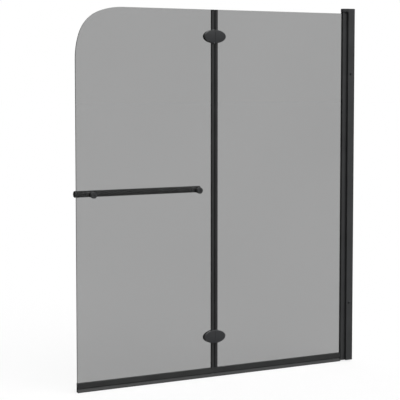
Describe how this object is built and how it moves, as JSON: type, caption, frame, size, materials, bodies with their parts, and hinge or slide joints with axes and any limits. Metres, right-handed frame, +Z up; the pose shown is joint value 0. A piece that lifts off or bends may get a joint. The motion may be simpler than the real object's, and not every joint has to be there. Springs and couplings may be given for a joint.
{
  "type": "folding bath screen",
  "caption": "Folding bath and shower screen of smoked glass with a rounded corner, matt black wall profile, oval glass hinges, sealing strips and a towel bar.",
  "frame": {"origin": "on the house wall, at the foot of the wall profile and in the middle plane of the glass", "axes": "+X into the house wall, +Y away from the pictured front, +Z up"},
  "size_m": [1.2, 0.091, 1.4],
  "materials": {
    "profile_black": "matt black powder coat on an aluminium extrusion",
    "hinge_black": "satin black coat on a cast fitting",
    "bar_black": "matt black powder coat on a tube",
    "cap_plastic": "moulded black plastic",
    "smoked_glass": "smoked grey toughened glass with ground edges",
    "seal_rubber": "soft black sealing strip",
    "sleeve_nylon": "natural nylon",
    "pin_steel": "turned stainless steel",
    "screw_black": "blackened steel"
  },
  "bodies": {
    "wall_frame": {"wall_channel": "profile_black", "wall_top_cap": "cap_plastic", "clamp_screws": "screw_black"},
    "fixed_panel": {"glass_channel": "profile_black", "glazing_gasket": "seal_rubber", "fixed_glass": "smoked_glass", "fixed_edge_upper": "profile_black", "fixed_edge_middle": "profile_black", "fixed_edge_lower": "profile_black", "fixed_bottom_rail": "profile_black", "fixed_bottom_lip": "seal_rubber", "upper_hinge_fixed_plate": "hinge_black", "upper_hinge_fixed_leaf": "hinge_black", "upper_hinge_fixed_pads": "seal_rubber", "upper_hinge_fixed_screws": "screw_black", "upper_hinge_fixed_sleeves": "sleeve_nylon", "lower_hinge_fixed_plate": "hinge_black", "lower_hinge_fixed_leaf": "hinge_black", "lower_hinge_fixed_pads": "seal_rubber", "lower_hinge_fixed_screws": "screw_black", "lower_hinge_fixed_sleeves": "sleeve_nylon", "meeting_seal_upper": "seal_rubber", "meeting_seal_middle": "seal_rubber", "meeting_seal_lower": "seal_rubber", "upper_hinge_pin": "pin_steel", "upper_hinge_washers": "sleeve_nylon", "lower_hinge_pin": "pin_steel", "lower_hinge_washers": "sleeve_nylon"},
    "folding_panel": {"door_glass": "smoked_glass", "towel_bar": "bar_black", "left_bar_end": "bar_black", "right_bar_end": "bar_black", "left_bar_post": "bar_black", "right_bar_post": "bar_black", "left_bar_cap": "bar_black", "right_bar_cap": "bar_black", "bar_washers": "seal_rubber", "bar_sleeves": "sleeve_nylon", "bar_studs": "pin_steel", "bar_set_screws": "screw_black", "door_edge_upper": "profile_black", "door_edge_middle": "profile_black", "door_edge_lower": "profile_black", "door_bottom_rail": "profile_black", "door_bottom_lip": "seal_rubber", "upper_hinge_door_plate": "hinge_black", "upper_hinge_door_leaf": "hinge_black", "upper_hinge_door_pads": "seal_rubber", "upper_hinge_door_screws": "screw_black", "upper_hinge_door_sleeves": "sleeve_nylon", "lower_hinge_door_plate": "hinge_black", "lower_hinge_door_leaf": "hinge_black", "lower_hinge_door_pads": "seal_rubber", "lower_hinge_door_screws": "screw_black", "lower_hinge_door_sleeves": "sleeve_nylon", "upper_hinge_bush": "sleeve_nylon", "lower_hinge_bush": "sleeve_nylon"}
  },
  "joints": [
    {"name": "profile_adjust", "type": "slide", "parent": "wall_frame", "child": "fixed_panel", "axis": [1, 0, 0], "range_m": [-0.008, 0.005]},
    {"name": "panel_fold", "type": "hinge", "parent": "fixed_panel", "child": "folding_panel", "pos_m": [-0.63192, 0.012, 0.7], "axis": [0, 0, -1], "range_deg": [0, 110]}
  ]
}
